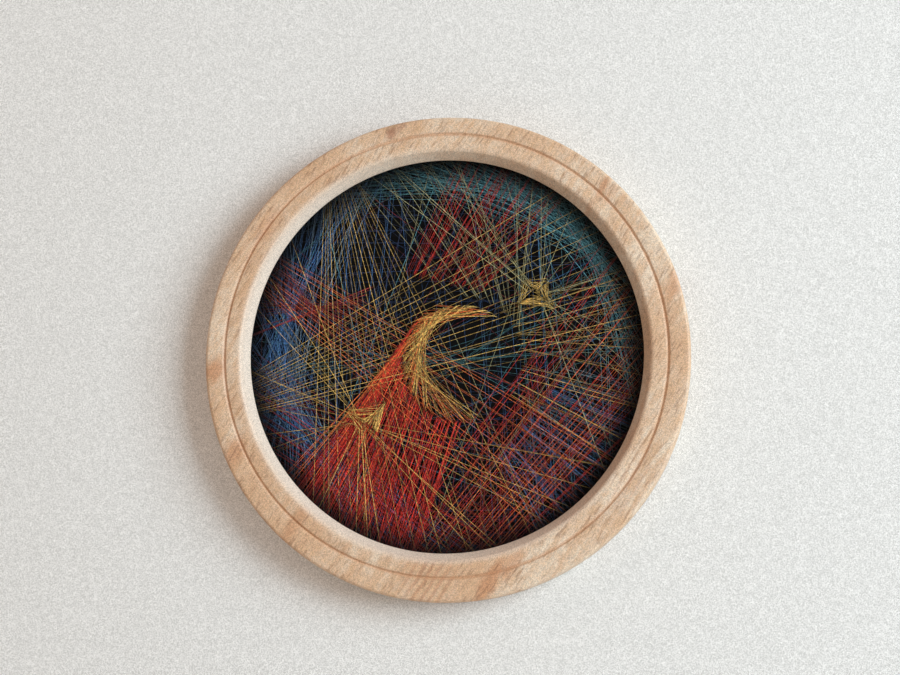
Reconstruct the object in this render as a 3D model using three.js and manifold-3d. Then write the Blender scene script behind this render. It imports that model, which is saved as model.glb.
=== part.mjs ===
// Circular string art for a wall: a turned wooden ring frame, a black round board in its rebate,
// and coloured threads strung across the opening in layers between the frame's lip and the board.
// Millimetres, +Z up. The front faces -Y. The backs of the frame and of the board lie on the wall at Y = 0,
// and the origin is the centre of that back.

import * as THREE from "three";
import { mergeVertices } from "three/addons/utils/BufferGeometryUtils.js";
import Module from "manifold-3d";

const wasm = await Module();
wasm.setup();

// Ring frame: radii and depths of its section, depths counted from the front face
const OUTER_RADIUS = 200;
const FRAME_DEPTH = 30;
const OUTER_EASE = 3;
const GROOVE_RADIUS = 182.9;
const GROOVE_HALF_WIDTH = 1.5;
const GROOVE_DEPTH = 1.9;
const SLOPE_RADIUS = 169.4;
const SLOPE_DEPTH = 10.6;
const SLOPE_EASE = 2.2;
const OPENING_RADIUS = 163.1;
const LIP_DEPTH = 12;
const REBATE_RADIUS = 175;

// What lies in the rebate keeps this gap to its neighbours
const FIT_GAP = 0.3;
const INSERT_RADIUS = 174.6;

// Thread layers: each colour is wound over a thin rim strip that the lip hides
const STRIP_INNER_RADIUS = 167.2;
const STRIP_THICKNESS = 1.2;
const ROOT_RADIUS = 171;
const STRAND_WIDTH = 0.8;
const STRAND_THICKNESS = 0.5;
const STRANDS_PER_LEVEL_PITCH = 0.6;

// How finely round shapes are divided
const FRAME_SIDES = 96;
const STRIP_SIDES = 48;
const EASE_STEPS = 3;
const SLOPE_STEPS = 4;

// Colours of the finishes
const WOOD_COLOUR = 0xd6b699;
const BOARD_COLOUR = 0x0b0b0d;

// The thread layers from the front to the back. Each row of bands is one level of strands. The strands
// run from the rim arc (fromStart, fromEnd) to the rim arc (toStart, toEnd), in degrees counterclockwise
// from the right, seen from the front. The arcs run against each other, so strands of one band never cross.
const THREAD_LAYERS = [
  {
    name: "threads_gold",
    colour: 0xc79a3e,
    bands: [
      { fromStart: 116, fromEnd: 127, toStart: 300, toEnd: 228, count: 20 },
      { fromStart: 186, fromEnd: 197, toStart: 56, toEnd: 4, count: 20 },
    ],
  },
  {
    name: "threads_orange",
    colour: 0xd9672c,
    bands: [
      { fromStart: 256, fromEnd: 284, toStart: 26, toEnd: -8, count: 22 },
      { fromStart: 148, fromEnd: 160, toStart: 332, toEnd: 296, count: 20 },
    ],
  },
  {
    name: "threads_red",
    colour: 0xb0241f,
    bands: [
      { fromStart: 250, fromEnd: 288, toStart: 38, toEnd: -20, count: 28 },
      { fromStart: 176, fromEnd: 214, toStart: 296, toEnd: 262, count: 24 },
    ],
  },
  {
    name: "threads_teal",
    colour: 0x3c8ea5,
    bands: [
      { fromStart: 18, fromEnd: 44, toStart: 112, toEnd: 86, count: 22 },
      { fromStart: 24, fromEnd: 74, toStart: -20, toEnd: -66, count: 26 },
    ],
  },
  {
    name: "threads_blue",
    colour: 0x2f5f9e,
    bands: [
      { fromStart: 100, fromEnd: 146, toStart: 250, toEnd: 194, count: 28 },
      { fromStart: 62, fromEnd: 128, toStart: 302, toEnd: 250, count: 28 },
    ],
  },
  {
    name: "threads_navy",
    colour: 0x1e3158,
    bands: [
      { fromStart: 112, fromEnd: 172, toStart: 68, toEnd: 8, count: 26 },
      { fromStart: 188, fromEnd: 248, toStart: 352, toEnd: 292, count: 26 },
    ],
  },
];

// A finish with no gloss of its own beyond its roughness
function finish(colour, roughness) {
  return new THREE.MeshStandardMaterial({ color: colour, roughness, metalness: 0 });
}

// A named sub-part
function piece(name, geometry, material) {
  const mesh = new THREE.Mesh(geometry, material);
  mesh.name = name;
  return mesh;
}

// A closed geometry as a solid that can be joined
function toSolid(geometry) {
  const plain = geometry.clone();
  plain.deleteAttribute("normal");
  plain.deleteAttribute("uv");
  const merged = mergeVertices(plain, 1e-4);
  return new wasm.Manifold(
    new wasm.Mesh({
      numProp: 3,
      vertProperties: new Float32Array(merged.attributes.position.array),
      triVerts: new Uint32Array(merged.index.array),
    }),
  );
}

// A solid back as a geometry
function toGeometry(solid) {
  const mesh = solid.getMesh();
  const geometry = new THREE.BufferGeometry();
  geometry.setAttribute("position", new THREE.BufferAttribute(mesh.vertProperties, 3));
  geometry.setIndex(new THREE.BufferAttribute(mesh.triVerts, 1));
  geometry.computeVertexNormals();
  return geometry;
}

// Points of a quarter ellipse in a section, from angle start to start + 90 degrees
function quarterEllipse(centreRadius, centreY, radiusAcross, radiusDeep, startDegrees, steps) {
  const points = [];
  for (let i = 0; i <= steps; i++) {
    const angle = THREE.MathUtils.degToRad(startDegrees + (90 * i) / steps);
    const radius = centreRadius + radiusAcross * Math.cos(angle);
    points.push(new THREE.Vector2(radius, centreY + radiusDeep * Math.sin(angle)));
  }
  return points;
}

// Points of an eased corner in a section, which leave and meet its two sides at the stated reach
function easedCorner(before, corner, after, reach, steps) {
  const start = corner.clone().add(before.clone().sub(corner).setLength(reach));
  const end = corner.clone().add(after.clone().sub(corner).setLength(reach));
  const points = [];
  for (let i = 0; i <= steps; i++) {
    const share = i / steps;
    const first = start.clone().lerp(corner, share);
    const second = corner.clone().lerp(end, share);
    points.push(first.lerp(second, share));
  }
  return points;
}

// The ring's closed section, counterclockwise in (radius, Y)
function frameSection() {
  const front = -FRAME_DEPTH;
  const lipBack = front + LIP_DEPTH;
  const slopeFoot = new THREE.Vector2(OPENING_RADIUS, front + SLOPE_DEPTH);
  const slopeHead = new THREE.Vector2(SLOPE_RADIUS, front);
  const grooveStart = new THREE.Vector2(GROOVE_RADIUS - GROOVE_HALF_WIDTH, front);
  const groove = [
    grooveStart,
    new THREE.Vector2(GROOVE_RADIUS, front + GROOVE_DEPTH),
    new THREE.Vector2(GROOVE_RADIUS + GROOVE_HALF_WIDTH, front),
  ];
  const outerRound = quarterEllipse(
    OUTER_RADIUS - OUTER_EASE,
    front + OUTER_EASE,
    OUTER_EASE,
    OUTER_EASE,
    270,
    EASE_STEPS,
  );
  const section = [
    new THREE.Vector2(REBATE_RADIUS, lipBack),
    new THREE.Vector2(OPENING_RADIUS, lipBack),
    slopeFoot,
    ...easedCorner(slopeFoot, slopeHead, grooveStart, SLOPE_EASE, SLOPE_STEPS),
    ...groove,
    ...outerRound,
    new THREE.Vector2(OUTER_RADIUS, 0),
    new THREE.Vector2(REBATE_RADIUS, 0),
  ];
  return [...section, section[0].clone()];
}

// The ring frame, turned in one piece
function ringFrame() {
  const geometry = new THREE.LatheGeometry(frameSection(), FRAME_SIDES);
  return piece("frame_ring", geometry, finish(WOOD_COLOUR, 0.6));
}

// Y of the front of a thread layer, counted from the lip's back
function layerFront(index) {
  return LIP_DEPTH - FRAME_DEPTH + FIT_GAP + index * (STRIP_THICKNESS + FIT_GAP);
}

// The board fills the rebate from the last thread layer to the wall
function backingBoard() {
  const front = layerFront(THREAD_LAYERS.length);
  const section = [
    new THREE.Vector2(0, front),
    new THREE.Vector2(INSERT_RADIUS, front),
    new THREE.Vector2(INSERT_RADIUS, 0),
    new THREE.Vector2(0, 0),
  ];
  const geometry = new THREE.LatheGeometry(section, FRAME_SIDES);
  return piece("backing_board", geometry, finish(BOARD_COLOUR, 0.9));
}

// A point on the circle where strands are rooted
function rimPoint(degrees, y) {
  const angle = THREE.MathUtils.degToRad(degrees);
  return new THREE.Vector3(ROOT_RADIUS * Math.cos(angle), y, ROOT_RADIUS * Math.sin(angle));
}

// One straight flat strand between two rim points
function strand(start, end) {
  const along = new THREE.Vector3().subVectors(end, start);
  const geometry = new THREE.BoxGeometry(along.length(), STRAND_THICKNESS, STRAND_WIDTH);
  const middle = new THREE.Vector3().addVectors(start, end).multiplyScalar(0.5);
  geometry.applyMatrix4(new THREE.Matrix4().makeRotationY(-Math.atan2(along.z, along.x)));
  geometry.translate(middle.x, middle.y, middle.z);
  return geometry;
}

// One colour's threads: a rim strip with a level of strands for each band
function threadLayer(layer, index) {
  const front = layerFront(index);
  const back = front + STRIP_THICKNESS;
  const section = [
    new THREE.Vector2(STRIP_INNER_RADIUS, back),
    new THREE.Vector2(STRIP_INNER_RADIUS, front),
    new THREE.Vector2(INSERT_RADIUS, front),
    new THREE.Vector2(INSERT_RADIUS, back),
    new THREE.Vector2(STRIP_INNER_RADIUS, back),
  ];
  let solid = toSolid(new THREE.LatheGeometry(section, STRIP_SIDES));
  layer.bands.forEach((band, level) => {
    const y = front + STRANDS_PER_LEVEL_PITCH * (level + 0.5);
    for (let i = 0; i < band.count; i++) {
      const share = i / (band.count - 1);
      const from = THREE.MathUtils.lerp(band.fromStart, band.fromEnd, share);
      const to = THREE.MathUtils.lerp(band.toStart, band.toEnd, share);
      solid = solid.add(toSolid(strand(rimPoint(from, y), rimPoint(to, y))));
    }
  });
  return piece(layer.name, toGeometry(solid), finish(layer.colour, 0.75));
}

const stringArt = new THREE.Group();
stringArt.add(ringFrame(), backingBoard(), ...THREAD_LAYERS.map(threadLayer));

export default stringArt;
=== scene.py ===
"""Dresses the circular string art: a turned wooden ring, a black board and layers of coloured threads.

Every length is in metres unless a name says otherwise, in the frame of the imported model: +Z is up the
wall, +X is to the right seen from the front, the front faces -Y, and the backs of the ring and of the
board lie on the wall at Y = 0. The thread picture is laid out in millimetres right and up.
"""

from __future__ import annotations

import logging
import math
from contextlib import contextmanager
from dataclasses import dataclass, field
from enum import Enum
from typing import Callable, Iterator, Sequence, Union

import bmesh
import bpy
import numpy as np
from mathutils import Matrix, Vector


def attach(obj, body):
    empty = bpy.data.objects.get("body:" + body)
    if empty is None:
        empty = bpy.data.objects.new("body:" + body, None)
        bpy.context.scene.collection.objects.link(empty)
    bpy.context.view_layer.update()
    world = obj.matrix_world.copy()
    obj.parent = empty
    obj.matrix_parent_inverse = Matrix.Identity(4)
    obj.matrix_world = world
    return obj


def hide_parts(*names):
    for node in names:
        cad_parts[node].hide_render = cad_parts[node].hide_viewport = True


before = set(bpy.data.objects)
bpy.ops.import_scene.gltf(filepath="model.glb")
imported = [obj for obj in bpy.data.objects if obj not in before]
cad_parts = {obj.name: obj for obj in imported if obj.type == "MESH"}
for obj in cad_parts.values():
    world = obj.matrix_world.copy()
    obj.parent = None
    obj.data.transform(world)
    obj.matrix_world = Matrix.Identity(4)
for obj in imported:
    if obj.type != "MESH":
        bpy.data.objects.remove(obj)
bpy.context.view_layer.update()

LOG = logging.getLogger("string_art")
MM = 0.001

# Corners within this of a place count as standing there
NEAR = 0.02 * MM

ROOT = "root"
SEED = 4127
UV_NAME = "Turns"

Piece = bpy.types.Object
Group = bpy.types.NodeTree
Socket = bpy.types.NodeSocket
Flat = tuple[float, float]
Place = tuple[float, float, float]
Colour = tuple[float, float, float, float]
Feed = Union[float, Sequence[float], Socket]

# What Shading.ramp takes: from which value to which, and the results there
Span = tuple[float, float, float, float]


def from_screen(red: int, green: int, blue: int) -> Colour:
    """Turn a colour as a screen shows it into the linear one that materials take.

    Args:
        red: Red from 0 to 255.
        green: Green from 0 to 255.
        blue: Blue from 0 to 255.

    Returns:
        Linear red, green and blue from 0 to 1, and an alpha of 1.
    """

    def channel(value: int) -> float:
        """Return one channel made linear."""
        share = value / 255.0
        return share / 12.92 if share <= 0.04045 else ((share + 0.055) / 1.055) ** 2.4

    return (channel(red), channel(green), channel(blue), 1.0)


# Working in edit mode


def start_fresh() -> None:
    """Leave edit mode and deselect every object."""
    if bpy.context.object is not None and bpy.context.object.mode != "OBJECT":
        bpy.ops.object.mode_set(mode="OBJECT")
    bpy.ops.object.select_all(action="DESELECT")


@contextmanager
def editing(piece: Piece) -> Iterator[bmesh.types.BMesh]:
    """Hold a piece in edit mode, with nothing selected at the start.

    Args:
        piece: The mesh object to edit.

    Yields:
        The piece's mesh as edit mode holds it.
    """
    start_fresh()
    piece.select_set(True)
    bpy.context.view_layer.objects.active = piece
    bpy.ops.object.mode_set(mode="EDIT")
    bpy.ops.mesh.select_all(action="DESELECT")
    yield bmesh.from_edit_mesh(piece.data)
    bpy.ops.object.mode_set(mode="OBJECT")


def pick(piece: Piece, kind: str, chosen: Callable[..., bool]) -> None:
    """Select the corners or edges that a test picks, and nothing else.

    Args:
        piece: The object in edit mode.
        kind: VERT for corners or EDGE for edges.
        chosen: The test on a corner's place, or on the places of an edge's two ends.
    """
    bpy.ops.mesh.select_mode(type=kind)
    bpy.ops.mesh.select_all(action="DESELECT")
    cage = bmesh.from_edit_mesh(piece.data)
    for element in cage.verts if kind == "VERT" else cage.edges:
        ends = [element] if kind == "VERT" else element.verts
        if chosen(*(end.co for end in ends)):
            element.select_set(True)
    cage.select_flush_mode()
    bmesh.update_edit_mesh(piece.data)


def pick_corner(piece: Piece, place: Flat) -> None:
    """Select the corner of a flat section that stands at a place, in edit mode."""
    pick(piece, "VERT", lambda co: abs(co.x - place[0]) < NEAR and abs(co.y - place[1]) < NEAR)


def round_corner(piece: Piece, place: Flat, reach: float, steps: int) -> None:
    """Round one corner of a flat section in edit mode.

    Args:
        piece: The object in edit mode, its section in the XY plane.
        place: The corner's X and Y.
        reach: How far the rounding runs along both sides.
        steps: The number of short sides that make the rounding.
    """
    pick_corner(piece, place)
    bpy.ops.mesh.bevel(offset=reach, offset_type="OFFSET", segments=steps, profile=0.5, affect="VERTICES")


def turn_on_lathe(steps: int) -> None:
    """Turn the outline of the flat section in edit mode round the Y axis into a closed ring.

    Args:
        steps: How many steps the full turn takes.
    """
    bpy.ops.mesh.select_mode(type="FACE")
    bpy.ops.mesh.select_all(action="SELECT")
    bpy.ops.mesh.delete(type="ONLY_FACE")
    bpy.ops.mesh.select_mode(type="EDGE")
    bpy.ops.mesh.select_all(action="SELECT")
    bpy.ops.mesh.spin(steps=steps, angle=math.tau, center=(0.0, 0.0, 0.0), axis=(0.0, 1.0, 0.0))
    bpy.ops.mesh.select_all(action="SELECT")
    bpy.ops.mesh.remove_doubles(threshold=0.001 * MM)
    bpy.ops.mesh.normals_make_consistent(inside=False)


def take_new(name: str) -> Piece:
    """Name the object that an operator has just added, and apply its place, turn and scale.

    Args:
        name: The object's name.

    Returns:
        The object, at the origin, unturned and unscaled.
    """
    piece = bpy.context.object
    piece.name = name
    bpy.ops.object.transform_apply(location=True, rotation=True, scale=True)
    return piece


def section_plate(name: str, low: Flat, high: Flat) -> Piece:
    """Add a flat rectangle in the XY plane, to be cut into a section.

    Args:
        name: The object's name.
        low: The rectangle's lowest X and Y.
        high: Its highest X and Y.

    Returns:
        The rectangle, its object at the origin.
    """
    start_fresh()
    middle = ((low[0] + high[0]) / 2, (low[1] + high[1]) / 2, 0.0)
    bpy.ops.mesh.primitive_plane_add(size=1.0, location=middle)
    bpy.context.object.scale = (high[0] - low[0], high[1] - low[1], 1.0)
    return take_new(name)


def finish_shape(piece: Piece, smooth_angle: float, material: bpy.types.Material) -> None:
    """Set a piece's object at the origin, smooth its shading over small angles and dress it.

    Args:
        piece: The finished piece.
        smooth_angle: Edges sharper than this many degrees stay crisp.
        material: Its material.
    """
    start_fresh()
    piece.select_set(True)
    bpy.context.view_layer.objects.active = piece
    bpy.ops.object.transform_apply(location=True, rotation=True, scale=True)
    bpy.ops.object.shade_smooth_by_angle(angle=math.radians(smooth_angle))
    piece.data.name = piece.name
    dress(piece, material)


# Building materials


@dataclass(frozen=True)
class Grain:
    """Noise that runs one way: features a metre along X, Y and Z, octaves, and the finer ones' weight."""

    stretch: Place
    detail: float = 3.0
    rough: float = 0.6


class Shading:
    """Adds nodes to one node tree and wires them."""

    def __init__(self, tree: Group) -> None:
        """Keep the tree that nodes go into."""
        self.tree = tree

    def feed(self, socket: Socket, value: Feed) -> None:
        """Wire a socket, or set it where the value is plain.

        Args:
            socket: The input socket.
            value: Another node's output, or a number, vector or colour.
        """
        if isinstance(value, Socket):
            self.tree.links.new(value, socket)
        else:
            socket.default_value = value

    def add(self, kind: str, **settings: object) -> bpy.types.Node:
        """Add a node and set its options.

        Args:
            kind: The node's type name in Blender.
            **settings: Options by name.

        Returns:
            The new node.
        """
        node = self.tree.nodes.new(kind)
        for name, value in settings.items():
            setattr(node, name, value)
        return node

    def sum_up(
        self, operation: str, first: Feed, second: Feed = 0.0, third: Feed = 0.0
    ) -> Socket:
        """Add a Math node.

        Args:
            operation: The node's operation.
            first: Its first value.
            second: Its second value, where it takes one.
            third: Its third value, where it takes one.

        Returns:
            The result.
        """
        node = self.add("ShaderNodeMath", operation=operation)
        for socket, value in zip(node.inputs, (first, second, third)):
            self.feed(socket, value)
        return node.outputs[0]

    def times(self, first: Feed, second: Feed) -> Socket:
        """Return two numbers multiplied."""
        return self.sum_up("MULTIPLY", first, second)

    def vector(self, operation: str, first: Feed, second: Feed = (0.0, 0.0, 0.0)) -> Socket:
        """Add a Vector Math node on two vectors.

        Args:
            operation: The node's operation.
            first: Its first vector.
            second: Its second vector.

        Returns:
            The result: a number for LENGTH and DOT_PRODUCT, and otherwise a vector.
        """
        node = self.add("ShaderNodeVectorMath", operation=operation)
        self.feed(node.inputs[0], first)
        self.feed(node.inputs[1], second)
        return node.outputs[1 if operation in ("LENGTH", "DOT_PRODUCT") else 0]

    def place(self) -> Socket:
        """Return the place on the piece, in its object's coordinates."""
        return self.add("ShaderNodeTexCoord").outputs["Object"]

    def part(self, vector: Feed, axis: int) -> Socket:
        """Take one part of a vector.

        Args:
            vector: The vector.
            axis: 0, 1 or 2 for X, Y or Z.

        Returns:
            That part.
        """
        node = self.add("ShaderNodeSeparateXYZ")
        self.feed(node.inputs[0], vector)
        return node.outputs[axis]

    def from_axis(self, place: Feed) -> Socket:
        """Return a place's distance from the model's Y axis."""
        return self.vector("LENGTH", self.vector("MULTIPLY", place, (1.0, 0.0, 1.0)))

    def noise(
        self, place: Feed, scale: float, detail: float = 2.0, rough: float = 0.5
    ) -> Socket:
        """Add soft noise.

        Args:
            place: The vector that it is read at.
            scale: Features for each unit of the vector.
            detail: Octaves.
            rough: The weight of each finer octave.

        Returns:
            The noise, about 0.5 on average.
        """
        node = self.add("ShaderNodeTexNoise")
        self.feed(node.inputs["Vector"], place)
        node.inputs["Scale"].default_value = scale
        node.inputs["Detail"].default_value = detail
        node.inputs["Roughness"].default_value = rough
        return node.outputs[0]

    def run(self, place: Feed, grain: Grain) -> Socket:
        """Add noise that runs one way, read at a place."""
        return self.noise(self.vector("MULTIPLY", place, grain.stretch), 1.0, grain.detail, grain.rough)

    def ramp(
        self, value: Feed, low: float, high: float, start: float = 0.0, end: float = 1.0
    ) -> Socket:
        """Map a value smoothly from one range to another.

        Args:
            value: What is mapped.
            low: Where the start value stands.
            high: Where the end value stands.
            start: The result at low.
            end: The result at high.

        Returns:
            The mapped value, held between start and end.
        """
        node = self.add("ShaderNodeMapRange", interpolation_type="SMOOTHSTEP")
        for socket, part in zip(node.inputs, (value, low, high, start, end)):
            self.feed(socket, part)
        return node.outputs[0]

    def blend(self, share: Feed, first: Feed, second: Feed, way: str = "MIX") -> Socket:
        """Mix two colours.

        Args:
            share: How much of the second shows.
            first: The first colour.
            second: The second colour.
            way: How they are mixed.

        Returns:
            The mixed colour.
        """
        node = self.add("ShaderNodeMix", data_type="RGBA", blend_type=way)
        self.feed(node.inputs[0], share)
        self.feed(node.inputs[6], first)
        self.feed(node.inputs[7], second)
        return node.outputs[2]

    def darken(self, colour: Feed, shade: Feed) -> Socket:
        """Multiply a colour by a shade.

        Args:
            colour: The colour.
            shade: The shade, where 1 leaves the colour as it is.

        Returns:
            The shaded colour.
        """
        tint = self.add("ShaderNodeCombineColor")
        for socket in tint.inputs:
            self.feed(socket, shade)
        return self.blend(1.0, colour, tint.outputs[0], "MULTIPLY")

    def bump(self, shader: bpy.types.Node, height: Feed, depth: float, strength: float) -> None:
        """Give a shader relief.

        Args:
            shader: The shader.
            height: The relief from 0 to 1.
            depth: How far 1 stands above 0.
            strength: How much of it counts.
        """
        bump = self.add("ShaderNodeBump")
        bump.inputs["Strength"].default_value = strength
        bump.inputs["Distance"].default_value = depth
        self.feed(bump.inputs["Height"], height)
        self.feed(shader.inputs["Normal"], bump.outputs[0])

    def place_group(self, group: Group, **values: Feed) -> bpy.types.Node:
        """Place a node group.

        Args:
            group: The group.
            **values: What its inputs take, with _ for a space in a name.

        Returns:
            The group's node.
        """
        node = self.add("ShaderNodeGroup", node_tree=group)
        for name, value in values.items():
            self.feed(node.inputs[name.replace("_", " ")], value)
        return node


def new_group(
    name: str, takes: dict[str, str], gives: dict[str, str]
) -> tuple[Shading, bpy.types.Node, bpy.types.Node]:
    """Start a shader node group.

    Args:
        name: The group's name.
        takes: Socket types of its inputs by name.
        gives: Socket types of its outputs by name.

    Returns:
        The group's shading helper, its input node and its output node.
    """
    group = bpy.data.node_groups.new(name, "ShaderNodeTree")
    for label, kind in takes.items():
        group.interface.new_socket(name=label, in_out="INPUT", socket_type=f"NodeSocket{kind}")
    for label, kind in gives.items():
        group.interface.new_socket(name=label, in_out="OUTPUT", socket_type=f"NodeSocket{kind}")
    shading = Shading(group)
    return shading, shading.add("NodeGroupInput"), shading.add("NodeGroupOutput")


def spot_group() -> Group:
    """Make the group for one soft, uneven mark on wood at a stated place.

    Returns:
        The group.
    """
    shading, given, result = new_group(
        "wood_spot",
        {"Place": "Vector", "Centre": "Vector", "Reach": "Vector", "Unevenness": "Float"},
        {"Mask": "Float"},
    )
    place, centre, reach, unevenness = given.outputs[:4]
    distance = shading.vector(
        "LENGTH", shading.vector("DIVIDE", shading.vector("SUBTRACT", place, centre), reach)
    )
    ripple = shading.sum_up("SUBTRACT", shading.noise(place, scale=120.0, detail=3.0, rough=0.6), 0.5)
    bent = shading.sum_up("MULTIPLY_ADD", ripple, unevenness, distance)
    shading.feed(result.inputs["Mask"], shading.ramp(bent, low=1.25, high=0.35))
    return shading.tree


def specks_group() -> Group:
    """Make the group for the fine, even grain that painted faces and wood smoothed by sanding share.

    Returns:
        The group.
    """
    shading, given, result = new_group(
        "fine_specks", {"Place": "Vector", "Size": "Float"}, {"Specks": "Float", "Swell": "Float"}
    )
    scaled = shading.add("ShaderNodeVectorMath", operation="SCALE")
    shading.feed(scaled.inputs["Vector"], given.outputs["Place"])
    shading.feed(scaled.inputs["Scale"], shading.sum_up("DIVIDE", 1.0, given.outputs["Size"]))
    shading.feed(result.inputs["Specks"], shading.noise(scaled.outputs[0], scale=1.0, rough=0.7))
    shading.feed(result.inputs["Swell"], shading.noise(scaled.outputs[0], scale=0.11))
    return shading.tree


def twist_group() -> Group:
    """Make the group for the two-ply twist of a sewing thread, read from its UV map.

    Returns:
        The group: U runs once round the thread and V along it in millimetres.
    """
    shading, given, result = new_group(
        "thread_twist", {"UV": "Vector", "Turn Length": "Float"}, {"Ply": "Float", "Slub": "Float"}
    )
    around = given.outputs["UV"]
    turns = shading.sum_up("DIVIDE", shading.part(around, 1), given.outputs["Turn Length"])
    phase = shading.sum_up("MULTIPLY_ADD", shading.part(around, 0), 2.0, turns)
    wave = shading.sum_up("SINE", shading.times(phase, math.tau))
    shading.feed(result.inputs["Ply"], shading.ramp(wave, low=-1.0, high=0.4))
    along = shading.vector("MULTIPLY", around, (0.0, 0.35, 0.0))
    shading.feed(result.inputs["Slub"], shading.noise(along, scale=1.0, rough=0.6))
    return shading.tree


def new_material(name: str) -> tuple[bpy.types.Material, Shading, bpy.types.Node]:
    """Start a material with a Principled shader.

    Args:
        name: The material's name.

    Returns:
        The material, its shading helper and its shader.
    """
    material = bpy.data.materials.new(name)
    material.use_nodes = True
    shading = Shading(material.node_tree)
    return material, shading, material.node_tree.nodes["Principled BSDF"]


def dress(piece: Piece, material: bpy.types.Material) -> None:
    """Give a whole piece one material."""
    piece.data.materials.clear()
    piece.data.materials.append(material)


# Finishes


@dataclass(frozen=True)
class WoodMark:
    """One mark in the wood: its place on the face and its reach along and across the grain, in mm."""

    right: float
    up: float
    along: float
    across: float
    strength: float
    uneven: float = 0.9


@dataclass(frozen=True)
class RingWood:
    """Pale wood smoothed by sanding, its grain running diagonally across the whole ring."""

    pale: Colour = from_screen(225, 206, 184)
    tan: Colour = from_screen(204, 164, 129)
    # The groove's darker tint: painted shade in its recess
    rosy: Colour = from_screen(218, 180, 138)
    cut: Colour = from_screen(204, 160, 126)
    amber: Colour = from_screen(186, 122, 78)
    rose: Colour = from_screen(158, 104, 82)
    growth: Colour = from_screen(176, 118, 88)
    pore: Colour = from_screen(132, 92, 66)
    # The lip's paler colour: a painted highlight, strongest on its lit lower-left side
    lip_highlight: Colour = from_screen(225, 208, 192)

    # How the grain lies, and how far it sways from straight
    grain_degrees: float = 57.0
    sway_scale: float = 9.0
    sway_reach: float = 16 * MM

    # Soft patches, streaks and tints of the face
    cloud: Grain = Grain((13.0, 13.0, 13.0), rough=0.55)
    cloud_span: Span = (0.34, 0.66, 0.0, 0.85)
    streak: Grain = Grain((10.0, 70.0, 135.0))
    streak_span: Span = (0.42, 0.64, 0.0, 0.55)
    mottle: Grain = Grain((60.0, 90.0, 170.0), rough=0.65)
    mottle_span: Span = (0.44, 0.70, 0.0, 0.60)
    tints: Grain = Grain((260.0, 260.0, 260.0), detail=2.0)
    tints_span: Span = (0.42, 0.62, 0.0, 0.30)

    # Growth lines, faint all over and strong in the line marks
    year_width: float = 6.6 * MM
    year_bend: Grain = Grain((45.0, 45.0, 45.0))
    year_bend_reach: float = 5.0
    year_span: Span = (-0.55, 1.0, 0.0, 1.0)
    faint_span: Span = (0.50, 0.72, 0.0, 0.22)
    year_strength: float = 0.42

    # Fibres, pores and the finest specks
    fibre: Grain = Grain((70.0, 500.0, 1500.0))
    fibre_span: Span = (0.25, 0.75, 0.95, 1.04)
    pores: Grain = Grain((90.0, 420.0, 560.0), detail=1.0, rough=0.5)
    pores_span: Span = (0.54, 0.72, 0.0, 1.0)
    gate: Grain = Grain((26.0, 26.0, 26.0), detail=2.0, rough=0.5)
    gate_span: Span = (0.36, 0.54, 0.25, 1.0)
    pore_strength: float = 0.46
    grit_size: float = 0.72 * MM
    grit_span: Span = (0.38, 0.62, 0.74, 1.25)
    gloss_span: Span = (0.2, 0.8, 0.42, 0.58)
    relief: float = 0.12 * MM

    # The lip, a little paler all round and much paler on its lit lower-left side: a painted highlight. The
    # groove, tinted darker: painted shade in its recess.
    slope_span: Span = (174.6 * MM, 165.6 * MM, 0.0, 1.0)
    lip_lit_side: Place = (-0.82, 0.0, -0.57)
    lip_highlight_span: Span = (-130 * MM, 20 * MM, 0.22, 0.95)
    groove_radius: float = 182.9 * MM
    groove_shade_span: Span = (1.1 * MM, 1.9 * MM, 0.4, 0.0)

    mark_depth: float = -27 * MM
    mark_reach: float = 90 * MM
    amber_marks: tuple[WoodMark, ...] = (
        WoodMark(-189, -13, 13, 9, 0.55),
        WoodMark(-171, -80, 16, 9, 0.45),
        WoodMark(189, 56, 20, 8, 0.40),
        WoodMark(186, -95, 16, 8, 0.35),
        WoodMark(38, -186, 24, 7, 0.55, 1.3),
        WoodMark(56, -172, 20, 7, 0.40),
        WoodMark(133, 135, 11, 3.4, 0.50),
        WoodMark(140, 130, 10, 5.0, 0.22),
        WoodMark(119, 117, 9, 2.6, 0.34, 1.1),
        WoodMark(-120, -140, 24, 6, 0.30),
        WoodMark(-150, 108, 20, 6, 0.25),
    )
    rose_marks: tuple[WoodMark, ...] = (
        WoodMark(-44, 184, 7, 5, 0.60, 1.2),
        WoodMark(-36, 190, 12, 4, 0.30, 1.2),
    )
    line_marks: tuple[WoodMark, ...] = (
        WoodMark(-12, -186, 30, 26, 1.0, 0.5),
        WoodMark(150, -112, 30, 16, 0.55),
        WoodMark(-150, 100, 36, 16, 0.40),
    )

    def marks(
        self, shading: Shading, group: Group, grain: Feed, marks: Sequence[WoodMark]
    ) -> Socket:
        """Lay marks over each other.

        Args:
            shading: The material's shading helper.
            group: The group for one mark.
            grain: The place along, into and across the grain.
            marks: The marks.

        Returns:
            How strongly any mark shows.
        """
        angle = math.radians(self.grain_degrees)
        total: Feed = 0.0
        for mark in marks:
            along = mark.right * math.cos(angle) + mark.up * math.sin(angle)
            across = mark.up * math.cos(angle) - mark.right * math.sin(angle)
            node = shading.place_group(
                group,
                Place=grain,
                Centre=(along * MM, self.mark_depth, across * MM),
                Reach=(mark.along * MM, self.mark_reach, mark.across * MM),
                Unevenness=mark.uneven,
            )
            shown = shading.times(node.outputs[0], mark.strength)
            total = shading.sum_up("MAXIMUM", total, shown)
        return total

    def material(self, spot: Group, specks: Group) -> bpy.types.Material:
        """Make the wood.

        Args:
            spot: The group for one mark.
            specks: The group for fine even grain.

        Returns:
            The material.
        """
        material, shading, shader = new_material("ring_wood")
        place = shading.place()

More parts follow.
